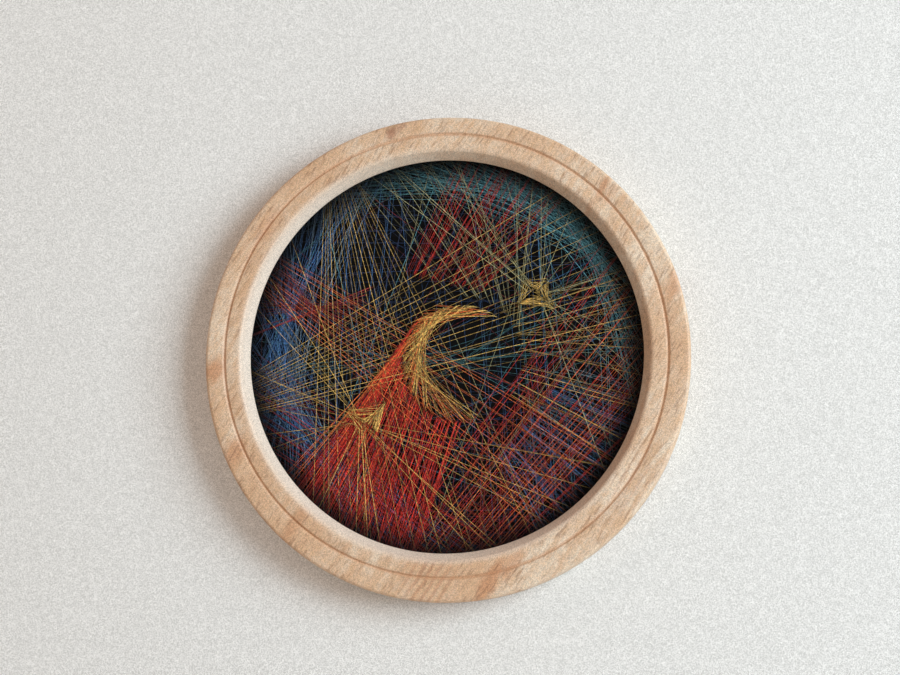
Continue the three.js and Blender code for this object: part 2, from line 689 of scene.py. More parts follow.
        # X along the grain, Z across it, and a slow sway
        turned = shading.add("ShaderNodeMapping")
        shading.feed(turned.inputs["Vector"], place)
        turned.inputs["Rotation"].default_value = (0.0, math.radians(self.grain_degrees), 0.0)
        drift = shading.sum_up("SUBTRACT", shading.noise(place, self.sway_scale), 0.5)
        sway = shading.add("ShaderNodeCombineXYZ")
        shading.feed(sway.inputs["Z"], shading.times(drift, self.sway_reach))
        grain = shading.vector("ADD", turned.outputs[0], sway.outputs[0])

        cloud = shading.run(grain, self.cloud)
        years = shading.times(shading.part(grain, 2), math.tau / self.year_width)
        bend = shading.run(grain, self.year_bend)
        bent = shading.sum_up("MULTIPLY_ADD", bend, self.year_bend_reach, years)
        line = shading.ramp(shading.sum_up("SINE", bent), *self.year_span)
        strong = self.marks(shading, spot, grain, self.line_marks)
        where = shading.sum_up("MAXIMUM", strong, shading.ramp(cloud, *self.faint_span))
        pores = shading.ramp(shading.run(grain, self.pores), *self.pores_span)
        gate = shading.ramp(shading.run(grain, self.gate), *self.gate_span)
        pitted = shading.times(pores, gate)

        radius = shading.from_axis(place)
        side = shading.vector("DOT_PRODUCT", place, self.lip_lit_side)
        slope = shading.ramp(radius, *self.slope_span)
        aside = shading.sum_up("ABSOLUTE", shading.sum_up("SUBTRACT", radius, self.groove_radius))

        colour: Feed = self.pale
        for share, over in (
            (shading.ramp(cloud, *self.cloud_span), self.tan),
            (shading.ramp(shading.run(grain, self.streak), *self.streak_span), self.tan),
            (shading.ramp(shading.run(grain, self.mottle), *self.mottle_span), self.tan),
            (shading.ramp(shading.run(place, self.tints), *self.tints_span), self.rosy),
            (self.marks(shading, spot, grain, self.amber_marks), self.amber),
            (self.marks(shading, spot, grain, self.rose_marks), self.rose),
            (shading.times(shading.times(line, where), self.year_strength), self.growth),
            (shading.times(pitted, self.pore_strength), self.pore),
            # The lip painted paler on its lit lower-left side: a painted highlight
            (shading.times(slope, shading.ramp(side, *self.lip_highlight_span)), self.lip_highlight),
            # The groove painted darker: painted shade in its recess
            (shading.ramp(aside, *self.groove_shade_span), self.cut),
        ):
            colour = shading.blend(share, colour, over)

        fibre = shading.run(grain, self.fibre)
        grit = shading.place_group(specks, Place=place, Size=self.grit_size).outputs["Specks"]
        shade = shading.ramp(fibre, *self.fibre_span)
        shade = shading.times(shade, shading.ramp(grit, *self.grit_span))
        shading.feed(shader.inputs["Base Color"], shading.darken(colour, shade))
        shading.feed(shader.inputs["Roughness"], shading.ramp(fibre, *self.gloss_span))
        shader.inputs["Specular IOR Level"].default_value = 0.5
        height = shading.sum_up("MULTIPLY_ADD", pitted, -1.0, shading.times(fibre, 0.6))
        shading.bump(shader, height, self.relief, strength=0.45)
        return material


@dataclass(frozen=True)
class BoardPaint:
    """Matt black paint on smooth board."""

    black: Colour = from_screen(5, 5, 6)
    dusty: Colour = from_screen(14, 14, 16)
    speck_size: float = 0.6 * MM
    roller: Grain = Grain((60.0, 60.0, 420.0))
    worn_span: Span = (0.45, 0.8, 0.0, 1.0)
    gloss_span: Span = (0.3, 0.7, 0.72, 0.92)
    relief: float = 0.10 * MM

    def material(self, specks: Group) -> bpy.types.Material:
        """Make the paint.

        Args:
            specks: The group for fine even grain.

        Returns:
            The material.
        """
        material, shading, shader = new_material("board_paint")
        place = shading.place()
        fine = shading.place_group(specks, Place=place, Size=self.speck_size).outputs["Specks"]
        roller = shading.run(place, self.roller)
        worn = shading.times(shading.ramp(fine, *self.worn_span), 0.5)
        worn = shading.sum_up("MULTIPLY_ADD", shading.ramp(roller, *self.worn_span), 0.35, worn)
        shading.feed(shader.inputs["Base Color"], shading.blend(worn, self.black, self.dusty))
        shading.feed(shader.inputs["Roughness"], shading.ramp(roller, *self.gloss_span))
        shader.inputs["Specular IOR Level"].default_value = 0.12
        shading.bump(shader, fine, self.relief, strength=0.5)
        return material


@dataclass(frozen=True)
class ThreadDye:
    """Twisted sewing thread in a main shade and a second one, picked thread by thread."""

    main: Colour
    second: Colour
    turn_length_mm: float = 1.3
    # Painted shade: in the grooves between the twist's plies, near the rim under the lip, and deep in the
    # stack
    ply_shade_span: Span = (0.0, 1.0, 0.72, 1.06)
    slub_span: Span = (0.3, 0.7, 0.86, 1.10)
    rim_span: Span = (136 * MM, 164 * MM, 1.0, 0.10)
    depth_span: Span = (-17.2 * MM, -9.6 * MM, 1.06, 0.32)
    fleck_scale: float = 620.0
    fleck_span: Span = (0.36, 0.62, 0.45, 1.45)
    gloss_span: Span = (0.3, 0.7, 0.50, 0.66)
    relief: float = 0.05 * MM

    def material(self, name: str, twist: Group) -> bpy.types.Material:
        """Make the thread's finish, darker near the rim and deep down, where little light comes.

        Args:
            name: The material's name.
            twist: The group for the thread's twist.

        Returns:
            The material.
        """
        material, shading, shader = new_material(name)
        around = shading.add("ShaderNodeUVMap", uv_map=UV_NAME).outputs[0]
        dye = shading.add("ShaderNodeAttribute", attribute_name="dye").outputs["Fac"]
        shade = shading.add("ShaderNodeAttribute", attribute_name="tone").outputs["Fac"]
        thread = shading.place_group(twist, UV=around, Turn_Length=self.turn_length_mm)
        ply, slub = thread.outputs["Ply"], thread.outputs["Slub"]
        place = shading.place()
        # Ply darkens the creases between the plies as painted shade; the rim and depth ramps are painted
        # shade under the lip and behind the threads in front
        for value, span in (
            (ply, self.ply_shade_span),
            (slub, self.slub_span),
            (shading.from_axis(place), self.rim_span),
            (shading.part(place, 1), self.depth_span),
            (shading.noise(place, self.fleck_scale, rough=0.6), self.fleck_span),
        ):
            shade = shading.times(shade, shading.ramp(value, *span))
        colour = shading.darken(shading.blend(dye, self.main, self.second), shade)
        shading.feed(shader.inputs["Base Color"], colour)
        shading.feed(shader.inputs["Roughness"], shading.ramp(slub, *self.gloss_span))
        shader.inputs["Specular IOR Level"].default_value = 0.35
        shading.bump(shader, ply, self.relief, strength=0.6)
        return material


@dataclass(frozen=True)
class StagePaint:
    """Pale matt paint of the wall and of the floor round the object."""

    name: str
    light: Colour
    shade: Colour
    front_only: bool = False
    speck_size: float = 0.62 * MM
    speck_span: Span = (0.42, 0.58, 0.0, 1.0)
    broad_span: Span = (0.3, 0.7, 0.0, 0.14)
    gloss_span: Span = (0.3, 0.7, 0.80, 0.95)
    relief: float = 0.25 * MM

    def material(self, specks: Group) -> bpy.types.Material:
        """Make the paint, clear from behind where only its front is to show.

        Args:
            specks: The group for fine even grain.

        Returns:
            The material.
        """
        material, shading, shader = new_material(self.name)
        fine = shading.place_group(specks, Place=shading.place(), Size=self.speck_size)
        speck, swell = fine.outputs["Specks"], fine.outputs["Swell"]
        share = shading.ramp(speck, *self.speck_span)
        share = shading.sum_up("ADD", share, shading.ramp(swell, *self.broad_span))
        shading.feed(shader.inputs["Base Color"], shading.blend(share, self.light, self.shade))
        shading.feed(shader.inputs["Roughness"], shading.ramp(swell, *self.gloss_span))
        shader.inputs["Specular IOR Level"].default_value = 0.2
        shading.bump(shader, speck, self.relief, strength=0.35)
        if self.front_only:
            behind = shading.add("ShaderNodeNewGeometry").outputs["Backfacing"]
            clear = shading.add("ShaderNodeBsdfTransparent").outputs[0]
            choice = shading.add("ShaderNodeMixShader")
            for socket, value in zip(choice.inputs, (behind, shader.outputs[0], clear)):
                shading.feed(socket, value)
            output = material.node_tree.nodes["Material Output"]
            shading.feed(output.inputs["Surface"], choice.outputs[0])
        return material


# The ring and the board


@dataclass
class FrameRing:
    """The turned ring: a flat face with a V-groove, a sloping lip inside and a rebate behind the lip."""

    outer_radius: float = 200 * MM
    rebate_radius: float = 175 * MM
    opening_radius: float = 163.1 * MM
    depth: float = 30 * MM
    lip_depth: float = 12 * MM
    slope_radius: float = 169.4 * MM
    slope_depth: float = 10.6 * MM
    slope_round: float = 2.2 * MM
    groove_radius: float = 182.9 * MM
    groove_half_width: float = 1.5 * MM
    groove_depth: float = 1.9 * MM
    outer_round: float = 3 * MM
    back_round: float = 0.7 * MM
    small_round: float = 0.3 * MM
    groove_round: float = 0.45 * MM
    rim_shift: Flat = (1.0 * MM, -2.6 * MM)
    turn_steps: int = 288
    smooth_degrees: float = 32.0
    finish: RingWood = field(default_factory=RingWood)

    @property
    def groove_edges(self) -> Flat:
        """Return the radii of the groove's inner and outer edge."""
        return self.groove_radius - self.groove_half_width, self.groove_radius + self.groove_half_width

    def build(self, spot: Group, specks: Group) -> Piece:
        """Cut the ring's section, turn it and give it its wood.

        Args:
            spot: The group for one mark in the wood.
            specks: The group for fine even grain.

        Returns:
            The ring.
        """
        front = -self.depth
        lip_back = front + self.lip_depth
        groove_in, groove_out = self.groove_edges
        ring = section_plate("ring_turned", (self.rebate_radius, front), (self.outer_radius, 0.0))
        with editing(ring):
            bpy.ops.mesh.select_all(action="SELECT")
            bpy.ops.mesh.bisect(plane_co=(0.0, lip_back, 0.0), plane_no=(0.0, 1.0, 0.0))
            pick(
                ring,
                "EDGE",
                lambda a, b: max(abs(a.x - self.rebate_radius), abs(b.x - self.rebate_radius)) < NEAR
                and min(a.y, b.y) < front + NEAR,
            )
            inward = self.opening_radius - self.rebate_radius
            bpy.ops.mesh.extrude_region_move(TRANSFORM_OT_translate={"value": (inward, 0.0, 0.0)})
            for radius in (self.slope_radius, groove_in, self.groove_radius, groove_out):
                bpy.ops.mesh.select_all(action="SELECT")
                bpy.ops.mesh.bisect(plane_co=(radius, 0.0, 0.0), plane_no=(1.0, 0.0, 0.0))
            bpy.ops.mesh.select_mode(type="FACE")
            bpy.ops.mesh.select_all(action="SELECT")
            bpy.ops.mesh.region_to_loop()
            bpy.ops.mesh.select_all(action="INVERT")
            bpy.ops.mesh.delete(type="EDGE")
            pick_corner(ring, (self.opening_radius, front))
            bpy.ops.transform.translate(value=(0.0, self.slope_depth, 0.0))
            pick_corner(ring, (self.groove_radius, front))
            bpy.ops.transform.translate(value=(0.0, self.groove_depth, 0.0))
            for place, reach, steps in self.roundings(front, lip_back):
                round_corner(ring, place, reach, steps)
            turn_on_lathe(self.turn_steps)
            rim = self.outer_radius - self.outer_round - NEAR
            pick(ring, "VERT", lambda co: math.hypot(co.x, co.z) > rim)
            bpy.ops.transform.translate(value=(self.rim_shift[0], 0.0, self.rim_shift[1]))
        finish_shape(ring, self.smooth_degrees, self.finish.material(spot, specks))
        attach(ring, ROOT)
        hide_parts("frame_ring")
        return ring

    def roundings(
        self, front: float, lip_back: float
    ) -> tuple[tuple[Flat, float, int], ...]:
        """List the roundings of the section's corners.

        Args:
            front: Y of the front face.
            lip_back: Y of the lip's back.

        Returns:
            Each corner's place, the reach of its rounding and its number of short sides.
        """
        groove_in, groove_out = self.groove_edges
        return (
            ((self.slope_radius, front), self.slope_round, 8),
            ((self.opening_radius, front + self.slope_depth), self.small_round, 2),
            ((self.opening_radius, lip_back), self.small_round, 2),
            ((self.outer_radius, front), self.outer_round, 8),
            ((self.outer_radius, 0.0), self.back_round, 3),
            ((self.rebate_radius, 0.0), self.small_round, 2),
            ((groove_in, front), self.groove_round, 3),
            ((groove_out, front), self.groove_round, 3),
            ((self.groove_radius, front + self.groove_depth), self.small_round, 2),
        )


@dataclass
class BackingBoard:
    """The black board in the ring's rebate, flush with its back."""

    radius: float = 174.6 * MM
    thickness: float = 8.7 * MM
    edge_round: float = 0.5 * MM
    sides: int = 192
    insets: Flat = (20 * MM, 60 * MM)
    smooth_degrees: float = 40.0
    finish: BoardPaint = field(default_factory=BoardPaint)

    def build(self, specks: Group) -> Piece:
        """Make the board from a short cylinder, ease its edges and paint it.

        Args:
            specks: The group for fine even grain.

        Returns:
            The board.
        """
        start_fresh()
        bpy.ops.mesh.primitive_cylinder_add(
            vertices=self.sides,
            radius=self.radius,
            depth=self.thickness,
            location=(0.0, -self.thickness / 2, 0.0),
            rotation=(math.pi / 2, 0.0, 0.0),
        )
        board = take_new("board_painted")
        with editing(board):
            edge = self.radius - NEAR
            pick(board, "EDGE", lambda a, b: abs(a.y - b.y) < NEAR and math.hypot(a.x, a.z) > edge)
            bpy.ops.mesh.bevel(offset=self.edge_round, segments=3, profile=0.5, affect="EDGES")
            bpy.ops.mesh.select_mode(type="FACE")
            for face in bmesh.from_edit_mesh(board.data).faces:
                face.select_set(len(face.verts) == self.sides)
            for thickness in self.insets:
                bpy.ops.mesh.inset(thickness=thickness, depth=0.0)
            bpy.ops.mesh.select_all(action="SELECT")
            bpy.ops.mesh.normals_make_consistent(inside=False)
        finish_shape(board, self.smooth_degrees, self.finish.material(specks))
        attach(board, ROOT)
        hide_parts("backing_board")
        return board


# The threads

# The rim's circle that threads are wound over and the middle of the whorl, in millimetres
RIM_RADIUS = 171.0
WHORL = (14.0, -4.0)

# How finely the strip behind the lip is divided, and how its windings show
STRIP_STEPS = 144
STRIP_TURNS = 170.0
STRIP_ACROSS = 0.4


class Shade(Enum):
    """Which of a colour's two dyes a band of threads takes."""

    MAIN = 0.0
    SECOND = 1.0


class Track:
    """A row of places that threads run from or to: by default, holes in the board."""

    anchored = True
    closed = False

    def within(self, shares: np.ndarray) -> np.ndarray:
        """Return shares brought back between 0 and 1: round a closed row, or turned back at an end."""
        return shares % 1.0 if self.closed else 1.0 - np.abs(1.0 - np.abs(shares))

    def places(self, shares: np.ndarray) -> np.ndarray:
        """Return the places, in millimetres right and up, at shares of the row."""
        raise NotImplementedError


@dataclass(frozen=True)
class ArcTrack(Track):
    """An arc of holes in the board, its angles in degrees counterclockwise from the right."""

    right: float
    up: float
    radius: float
    start: float
    end: float

    def places(self, shares: np.ndarray) -> np.ndarray:
        """Return the places, in millimetres right and up, at shares of the arc."""
        angle = np.radians(self.start + (self.end - self.start) * shares)
        return np.stack((np.cos(angle), np.sin(angle)), axis=1) * self.radius + (self.right, self.up)


class RimTrack(ArcTrack):
    """A stretch of the rim that threads are wound over. One of a full turn is closed."""

    anchored = False

    def __init__(self, start: float, end: float) -> None:
        """Lay the stretch on the rim's circle."""
        super().__init__(0.0, 0.0, RIM_RADIUS, start, end)

    @property
    def closed(self) -> bool:
        """Whether the stretch runs all the way round."""
        return abs(self.end - self.start) >= 360.0


@dataclass(frozen=True)
class LineTrack(Track):
    """A straight row of holes in the board."""

    right: float
    up: float
    end_right: float
    end_up: float

    def places(self, shares: np.ndarray) -> np.ndarray:
        """Return the places, in millimetres right and up, at shares of the row."""
        first, last = np.array((self.right, self.up)), np.array((self.end_right, self.end_up))
        return first + (last - first) * shares[:, None]


@dataclass(frozen=True)
class Band:
    """Threads from one track to another: how many, how far in front of the wall, how uneven, which dye."""

    begin: Track
    end: Track
    count: int
    height: float
    loose: float
    shade: Shade = Shade.MAIN


@dataclass
class ThreadModel:
    """One thread, modelled once: its corners, faces and UV, to be copied into place."""

    sides: int = 4
    spans: int = 12

    def build(self) -> None:
        """Model a unit thread along Z in short spans, and read its arrays."""
        start_fresh()
        bpy.ops.mesh.primitive_cylinder_add(
            vertices=self.sides, radius=1.0, depth=1.0, location=(0.0, 0.0, 0.5)
        )
        thread = take_new("thread")
        with editing(thread):
            for cut in range(1, self.spans):
                bpy.ops.mesh.select_all(action="SELECT")
                place = (0.0, 0.0, cut / self.spans)
                bpy.ops.mesh.bisect(plane_co=place, plane_no=(0.0, 0.0, 1.0))
        mesh = thread.data
        corners = np.empty(len(mesh.vertices) * 3)
        mesh.vertices.foreach_get("co", corners)
        self.corners = corners.reshape(-1, 3)
        self.ring = np.rint(self.corners[:, 2] * self.spans).astype(int)
        self.loops = np.empty(len(mesh.loops), dtype=np.int32)
        mesh.loops.foreach_get("vertex_index", self.loops)
        self.starts = np.empty(len(mesh.polygons), dtype=np.int32)
        mesh.polygons.foreach_get("loop_start", self.starts)
        totals = np.empty(len(mesh.polygons), dtype=np.int32)
        mesh.polygons.foreach_get("loop_total", totals)
        turn = np.arctan2(self.corners[:, 1], self.corners[:, 0]) / math.tau % 1.0
        self.turns = turn[self.loops]

        # A side face across the seam counts on past the full turn
        for start, total in zip(self.starts, totals):
            part = self.turns[start : start + total]
            if total == 4 and part.max() - part.min() > 0.5:
                part[part < 0.5] += 1.0
        bpy.data.objects.remove(thread, do_unlink=True)
        bpy.data.meshes.remove(mesh)


@dataclass
class ThreadLayer:
    """All threads of one colour, with the narrow strip of turns behind the lip.

    The strip's sizes are in metres, as its shape is. The threads' sizes, from board_front to stitch_depth,
    are in millimetres, as the bands are.
    """

    colour: str
    strip_front: float
    dye: ThreadDye
    bands: tuple[Band, ...]
    strip_thickness: float = 1.2 * MM
    strip_inner: float = 167.2 * MM
    strip_outer: float = 174.6 * MM
    board_front: float = -8.7
    stack_front: float = -17.6
    dip: float = 2.6
    radius: Flat = (0.12, 0.17)
    spread: float = 0.9
    clear_front: float = 0.25
    clear_board: float = 0.35
    stitch_depth: float = 0.2
    tones: Flat = (0.25, 1.6)
    dye_spread: float = 0.10
    strip_round: float = 0.35 * MM
    strip_tone: float = 0.85
    strip_dye: float = 0.1

    def draw(self, band: Band, dice: np.random.Generator) -> np.ndarray:
        """Draw where a band's threads run and how each looks.

        Args:
            band: The band.
            dice: The source of unevenness.

        Returns:
            A row for each thread: right and up of its start and of its end, its thickness, its level on
            the way, at the start and at the end, its tone and its dye.
        """
        count = band.count
        tracks = (band.begin, band.end)
        shares = (np.arange(count) + 0.5) / count
        ends = []
        for track in tracks:
            uneven = shares + dice.normal(0.0, band.loose, count)
            ends.append(track.places(track.within(uneven)))
        thick = dice.uniform(*self.radius, count)
        level = -band.height + dice.uniform(-self.spread, self.spread, count)
        level = np.clip(level, self.stack_front + self.clear_front, self.board_front - self.clear_board)
        stitch = np.full(count, self.board_front + self.stitch_depth)
        levels = [stitch if track.anchored else level for track in tracks]
        tone = dice.uniform(*self.tones, count)
        dye = np.clip(band.shade.value + dice.normal(0.0, self.dye_spread, count), 0.0, 1.0)
        return np.column_stack((*ends, thick, level, *levels, tone, dye))

    def string_all(self, model: ThreadModel, dice: np.random.Generator) -> Piece:
        """Copy the modelled thread to every place, as one mesh.

        Args:
            model: The thread, modelled once.
            dice: The source of unevenness.

        Returns:
            The threads.
        """
        rows = np.concatenate([self.draw(band, dice) for band in self.bands])
        begin = rows[:, 0:2]
        reach = rows[:, 2:4] - begin
        thick, level, first, last, tone, dye = rows[:, 4:].T
        count = len(rows)
        length = np.maximum(np.hypot(reach[:, 0], reach[:, 1]), 1.0)
        ahead = reach / length[:, None]
        dip = np.minimum(self.dip, length / 4)
        inner = np.linspace(0.0, 1.0, model.spans - 1)
        stops = dip[:, None] + (length - 2 * dip)[:, None] * inner
        stops = np.concatenate((np.zeros((count, 1)), stops, length[:, None]), axis=1)
        levels = np.repeat(level[:, None], model.spans + 1, axis=1)
        levels[:, 0], levels[:, -1] = first, last
        along = stops[:, model.ring]
        side = model.corners[None, :, 0] * thick[:, None]
        deep = model.corners[None, :, 1] * thick[:, None] + levels[:, model.ring]
        right = begin[:, 0:1] + ahead[:, 0:1] * along - ahead[:, 1:2] * side
        up = begin[:, 1:2] + ahead[:, 1:2] * along + ahead[:, 0:1] * side
        corners = np.stack((right, deep, up), axis=2) * MM
        shift = np.arange(count)[:, None]
        loops = model.loops[None, :] + shift * len(model.corners)
        starts = model.starts[None, :] + shift * len(model.loops)
        around = np.stack((np.broadcast_to(model.turns, loops.shape), along[:, model.loops]), axis=2)

        mesh = bpy.data.meshes.new(f"strung_{self.colour}")
        mesh.vertices.add(count * len(model.corners))
        mesh.vertices.foreach_set("co", corners.reshape(-1).astype(np.float32))
        mesh.loops.add(loops.size)
        mesh.loops.foreach_set("vertex_index", loops.reshape(-1).astype(np.int32))
        mesh.polygons.add(starts.size)
        mesh.polygons.foreach_set("loop_start", starts.reshape(-1).astype(np.int32))
        mesh.update(calc_edges=True)
        mesh.validate()
        mesh.polygons.foreach_set("use_smooth", np.ones(len(mesh.polygons), dtype=bool))
        turns = mesh.uv_layers.new(name=UV_NAME)
        turns.uv.foreach_set("vector", around.reshape(-1).astype(np.float32))
        self.put_values(mesh, np.repeat(tone, len(model.corners)), np.repeat(dye, len(model.corners)))
        threads = bpy.data.objects.new(f"strung_{self.colour}", mesh)
        bpy.context.scene.collection.objects.link(threads)
        return threads

    def wind_strip(self) -> Piece:
        """Turn the strip of wound thread that lies behind the lip.

        Returns:
            The strip, with the threads' UV and attributes.
        """
        back = self.strip_front + self.strip_thickness
        strip = section_plate("strip", (self.strip_inner, self.strip_front), (self.strip_outer, back))
        with editing(strip):
            for y in (self.strip_front, back):
                round_corner(strip, (self.strip_inner, y), self.strip_round, 2)
            turn_on_lathe(STRIP_STEPS)
        mesh = strip.data
        while mesh.uv_layers:
            mesh.uv_layers.remove(mesh.uv_layers[0])
        turns = mesh.uv_layers.new(name=UV_NAME)
        for face in mesh.polygons:
            middle = math.atan2(face.center.z, face.center.x)
            for loop in face.loop_indices:
                place = mesh.vertices[mesh.loops[loop].vertex_index].co
                angle = math.atan2(place.z, place.x)
                angle += math.tau * round((middle - angle) / math.tau)
                across = math.hypot(place.x, place.z) / MM + place.y / MM
                turns.uv[loop].vector = (angle * STRIP_TURNS, across * STRIP_ACROSS)
        every = np.ones(len(mesh.vertices))
        self.put_values(mesh, every * self.strip_tone, every * self.strip_dye)
        return strip

    def put_values(self, mesh: bpy.types.Mesh, tone: np.ndarray, dye: np.ndarray) -> None:
        """Store the tone and the dye of every corner for the thread's material.

        Args:
            mesh: The mesh.
            tone: How light each corner's thread is.
            dye: How much of the second dye it has.
        """
        for name, values in (("tone", tone), ("dye", dye)):
            layer = mesh.attributes.new(name, "FLOAT", "POINT")
            layer.data.foreach_set("value", values.astype(np.float32))

    def build(
        self, model: ThreadModel, dice: np.random.Generator, twist: Group
    ) -> Piece:
        """String the threads, join them with their strip and dye them.

        Args:
            model: The thread, modelled once.
            dice: The source of unevenness.
            twist: The group for the thread's twist.

        Returns:
            The colour's piece.
        """
        threads = self.string_all(model, dice)
        strip = self.wind_strip()
        start_fresh()
        strip.select_set(True)
        threads.select_set(True)
        bpy.context.view_layer.objects.active = threads
        bpy.ops.object.join()
        dress(threads, self.dye.material(f"dyed_{self.colour}", twist))
        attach(threads, ROOT)
        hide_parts(f"threads_{self.colour}")
        return threads


def whorl(radius: float, start: float, end: float) -> ArcTrack:
    """Return an arc of holes round the middle of the picture."""
    return ArcTrack(*WHORL, radius, start, end)


def thread_layers() -> tuple[ThreadLayer, ...]:
    """List the thread colours from the back to the front, with their bands.

    Returns:
        The six layers.
    """
    rim = RimTrack
    second = Shade.SECOND
    full = (0.13, 0.18)
    navy = ThreadLayer(
        "navy",
        -10.2 * MM,
        ThreadDye(from_screen(64, 98, 156), from_screen(92, 84, 138)),
        (
            Band(rim(0, 360), rim(110, 470), 26, 9.4, 0.10),
            Band(rim(0, 360), rim(72, 432), 20, 9.6, 0.10),
            Band(rim(0, 360), rim(150, 510), 20, 9.8, 0.12),
            Band(rim(112, 172), rim(68, 8), 24, 9.9, 0.03),
            Band(rim(188, 248), rim(352, 292), 24, 10.0, 0.03),
            Band(rim(20, 200), rim(150, 330), 14, 10.2, 0.06, second),
        ),
    )
    blue = ThreadLayer(
        "blue",
        -11.7 * MM,
        ThreadDye(from_screen(92, 150, 218), from_screen(156, 182, 200)),
        (
            Band(rim(62, 128), rim(302, 250), 20, 10.8, 0.03),
            Band(rim(0, 360), rim(98, 458), 22, 11.2, 0.12),
            Band(rim(100, 146), rim(250, 194), 26, 11.6, 0.03),
            Band(rim(104, 196), rim(180, 284), 110, 12.2, 0.06),
            Band(rim(296, 345), LineTrack(40, -84, 92, -20), 60, 12.6, 0.04),
            Band(rim(104, 186), rim(196, 272), 24, 12.6, 0.06, second),
            Band(rim(318, 350), LineTrack(60, -70, 96, -6), 24, 12.8, 0.04, second),
        ),
    )
    teal = ThreadLayer(
        "teal",
        -13.2 * MM,
        ThreadDye(from_screen(128, 208, 224), from_screen(108, 176, 184)),
        (
            Band(rim(24, 74), rim(-20, -66), 16, 11.4, 0.03),
            Band(rim(0, 360), rim(128, 488), 20, 12.0, 0.12),
            Band(rim(18, 44), rim(112, 86), 22, 12.6, 0.03),
            Band(rim(-24, 64), rim(44, 128), 100, 12.6, 0.06),
            Band(rim(20, 100), rim(84, 164), 16, 12.4, 0.06, second),
            Band(rim(150, 230), rim(330, 402), 20, 12.0, 0.06, second),
        ),
    )
    red = ThreadLayer(
        "red",
        -14.7 * MM,
        ThreadDye(from_screen(226, 60, 46), from_screen(170, 56, 60)),
        (
            Band(rim(0, 360), rim(140, 500), 18, 12.8, 0.12, second),
            Band(rim(236, 318), whorl(56, 190, 380), 44, 12.6, 0.05, second),
            Band(rim(176, 214), rim(296, 262), 36, 13.2, 0.03),
            Band(rim(52, 86), LineTrack(30, 52, -34, 68), 56, 13.2, 0.06),
            Band(rim(250, 288), rim(38, -20), 36, 13.6, 0.03),
            Band(rim(220, 262), whorl(50, 130, 270), 170, 14.8, 0.05),
            Band(rim(148, 176), LineTrack(-96, 10, -60, 60), 34, 13.4, 0.05, second),
        ),
        radius=full,
    )
    orange = ThreadLayer(
        "orange",
        -16.2 * MM,
        ThreadDye(from_screen(226, 114, 60), from_screen(230, 162, 98)),
        (
            Band(rim(148, 160), rim(332, 296), 18, 15.2, 0.02),
            Band(rim(256, 284), rim(26, -8), 18, 15.6, 0.02),
            Band(rim(216, 246), whorl(46, 110, 230), 26, 15.6, 0.06),
            Band(whorl(44, 56, 200), whorl(52, 116, 280), 60, 15.9, 0.07),
        ),
        radius=full,
    )
    gold = ThreadLayer(
        "gold",
        -17.7 * MM,
        ThreadDye(from_screen(230, 190, 104), from_screen(170, 168, 126)),
        (
            Band(rim(0, 360), rim(116, 476), 12, 13.8, 0.12, second),
            Band(rim(120, 60), whorl(52, 100, 20), 26, 14.4, 0.05, second),
            Band(rim(28, -36), whorl(48, 60, -40), 22, 15.4, 0.04),
            Band(whorl(46, 50, 190), whorl(50, 118, 288), 64, 16.6, 0.06),
            Band(rim(116, 127), rim(300, 228), 20, 15.6, 0.012),
            Band(rim(186, 197), rim(56, 4), 18, 15.8, 0.012),
            Band(ArcTrack(-66, -52, 8, 140, 330), rim(140, 330), 32, 15.8, 0.06),
            Band(LineTrack(-84, -44, -56, -66), LineTrack(-72, -66, -48, -36), 70, 16.8, 0.35),
            Band(ArcTrack(74, 46, 8, -50, 140), rim(-40, 128), 28, 15.6, 0.06, second),
            Band(LineTrack(58, 40, 86, 62), LineTrack(64, 62, 92, 36), 60, 16.4, 0.35),
        ),
    )
    return (navy, blue, teal, red, orange, gold)


# The stage


@dataclass(frozen=True)
class Panel:
    """A square light panel that faces the object."""

    name: str
    place: Place
    size: float
    power: float
    tint: Place

    def build(self) -> None:
        """Place the panel and turn it to the object."""
        start_fresh()
        bpy.ops.object.light_add(type="AREA", location=self.place)
        panel = bpy.context.object
        panel.name = self.name
        panel.data.shape = "SQUARE"
        panel.data.size = self.size
        panel.data.energy = self.power
        panel.data.color = self.tint
        panel.rotation_euler = (-Vector(self.place)).to_track_quat("-Z", "Y").to_euler()


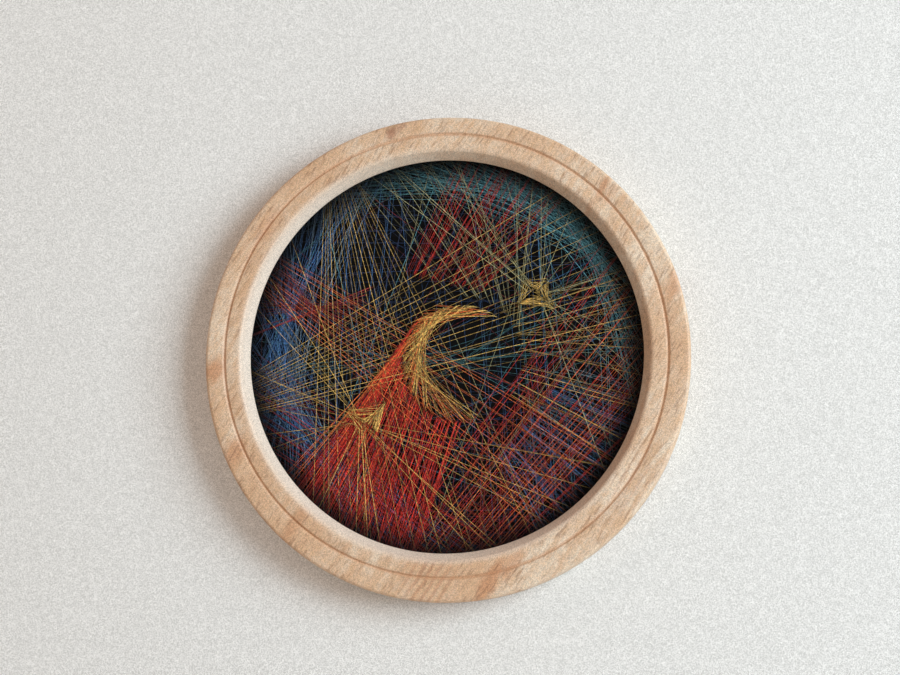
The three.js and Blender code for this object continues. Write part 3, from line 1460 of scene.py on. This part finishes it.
@dataclass
class Studio:
    """A pale wall behind the object, a pale floor far below it, and soft light from the right."""

    wall_gap: float = 0.4 * MM
    wall_size: float = 6.0
    wall_opening: float = 195 * MM
    floor_level: float = -1.9

    # The key light's height above the level and its turn out from the wall, in degrees
    key_rise: float = 13.0
    key_out: float = 34.5
    key_distance: float = 4.5
    cool: Place = (0.76, 0.90, 0.98)
    warm: Place = (1.0, 0.79, 0.656)
    sky: Colour = (0.515, 0.408, 0.338, 1.0)
    sky_strength: float = 0.58
    wall_paint: StagePaint = StagePaint(
        "wall_paint", (0.98, 0.97, 0.95, 1.0), (0.59, 0.585, 0.565, 1.0), front_only=True
    )
    floor_paint: StagePaint = StagePaint("floor_paint", (0.74, 0.73, 0.71, 1.0), (0.66, 0.65, 0.63, 1.0))

    def panels(self) -> tuple[Panel, ...]:
        """Place the key light, two weaker ones in front and one behind the wall.

        Returns:
            The four panels.
        """
        rise, out = math.radians(self.key_rise), math.radians(self.key_out)
        key = Vector((math.cos(out) * math.cos(rise), -math.sin(out), math.cos(out) * math.sin(rise)))
        key_place = tuple(key * self.key_distance)
        return (
            Panel("key_light", key_place, size=2.6, power=240.0, tint=self.cool),
            Panel("front_light", (0.0, -3.5, 0.0), size=2.4, power=11.5, tint=self.warm),
            Panel("left_light", (-1.9, -2.3, 1.8), size=1.6, power=11.5, tint=self.warm),
            Panel("rear_light", (-0.8, 2.0, 1.2), size=1.6, power=16.0, tint=self.cool),
        )

    def build_wall(self) -> Piece:
        """Make the wall, open behind the object so that its back stays lit.

        Returns:
            The wall.
        """
        start_fresh()
        bpy.ops.mesh.primitive_circle_add(
            vertices=96,
            radius=self.wall_opening,
            fill_type="NOTHING",
            location=(0.0, self.wall_gap, 0.0),
            rotation=(math.pi / 2, 0.0, 0.0),
        )
        wall = take_new("wall")
        with editing(wall):
            bpy.ops.mesh.select_all(action="SELECT")
            factor = self.wall_size / 2 / self.wall_opening
            bpy.ops.mesh.extrude_region_move(TRANSFORM_OT_translate={"value": (0.0, 0.0, 0.0)})
            middle = (0.0, self.wall_gap, 0.0)
            bpy.ops.transform.resize(value=(factor, 1.0, factor), center_override=middle)
            bpy.ops.mesh.select_all(action="SELECT")
            for face in bmesh.from_edit_mesh(wall.data).faces:
                if face.normal.y > 0:
                    face.normal_flip()
        return wall

    def build(self, specks: Group) -> None:
        """Set up the stage and its light.

        Args:
            specks: The group for fine even grain.
        """
        wall = self.build_wall()
        dress(wall, self.wall_paint.material(specks))
        start_fresh()
        bpy.ops.mesh.primitive_plane_add(size=self.wall_size, location=(0.0, 0.0, self.floor_level))
        floor = take_new("floor")
        dress(floor, self.floor_paint.material(specks))
        for panel in self.panels():
            panel.build()
        world = bpy.data.worlds.new("studio_sky")
        world.use_nodes = True
        backdrop = world.node_tree.nodes["Background"]
        backdrop.inputs["Color"].default_value = self.sky
        backdrop.inputs["Strength"].default_value = self.sky_strength
        bpy.context.scene.world = world
        bpy.context.scene.view_settings.view_transform = "Standard"
        bpy.context.scene.view_settings.look = "None"


@dataclass
class PhotoCamera:
    """The camera at the photograph's angle: a little to the right of the middle and below it."""

    azimuth: float = 7.0
    elevation: float = -7.2
    distance: float = 1.5
    lens: float = 73.42
    sensor_width: float = 36.0
    clip_start: float = 10 * MM
    aim_right: float = 5.6 * MM
    aim_up: float = 12.3 * MM
    face_centre: Place = (0.0, -30 * MM, 0.0)

    def build(self) -> None:
        """Place the camera."""
        turn = math.radians(self.azimuth)
        lift = math.radians(self.elevation)
        level = math.cos(lift)
        back = Vector((math.sin(turn) * level, -math.cos(turn) * level, math.sin(lift)))
        right = Vector((math.cos(turn), math.sin(turn), 0.0))
        up = back.cross(right)
        centre = Vector(self.face_centre)
        place = centre + back * self.distance
        aim = centre + right * self.aim_right + up * self.aim_up
        start_fresh()
        bpy.ops.object.camera_add(location=place)
        camera = bpy.context.object
        camera.name = "photo_camera"
        camera.data.lens = self.lens
        camera.data.sensor_width = self.sensor_width
        camera.data.clip_start = self.clip_start
        camera.rotation_euler = (aim - place).to_track_quat("-Z", "Y").to_euler()
        bpy.context.scene.camera = camera


def report(piece: Piece) -> None:
    """Log a finished piece's name and how many triangles it has."""
    piece.data.calc_loop_triangles()
    LOG.info("%s: %d triangles", piece.name, len(piece.data.loop_triangles))


def main() -> None:
    """Build the stage and every piece."""
    specks = specks_group()
    spot = spot_group()
    twist = twist_group()
    PhotoCamera().build()
    Studio().build(specks)

    report(FrameRing().build(spot, specks))
    report(BackingBoard().build(specks))
    model = ThreadModel()
    model.build()
    for index, layer in enumerate(thread_layers()):
        report(layer.build(model, np.random.default_rng(SEED + index), twist))

    start_fresh()
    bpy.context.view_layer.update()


if __name__ == "__main__":
    logging.basicConfig(level=logging.INFO, format="%(name)s: %(message)s")
    main()
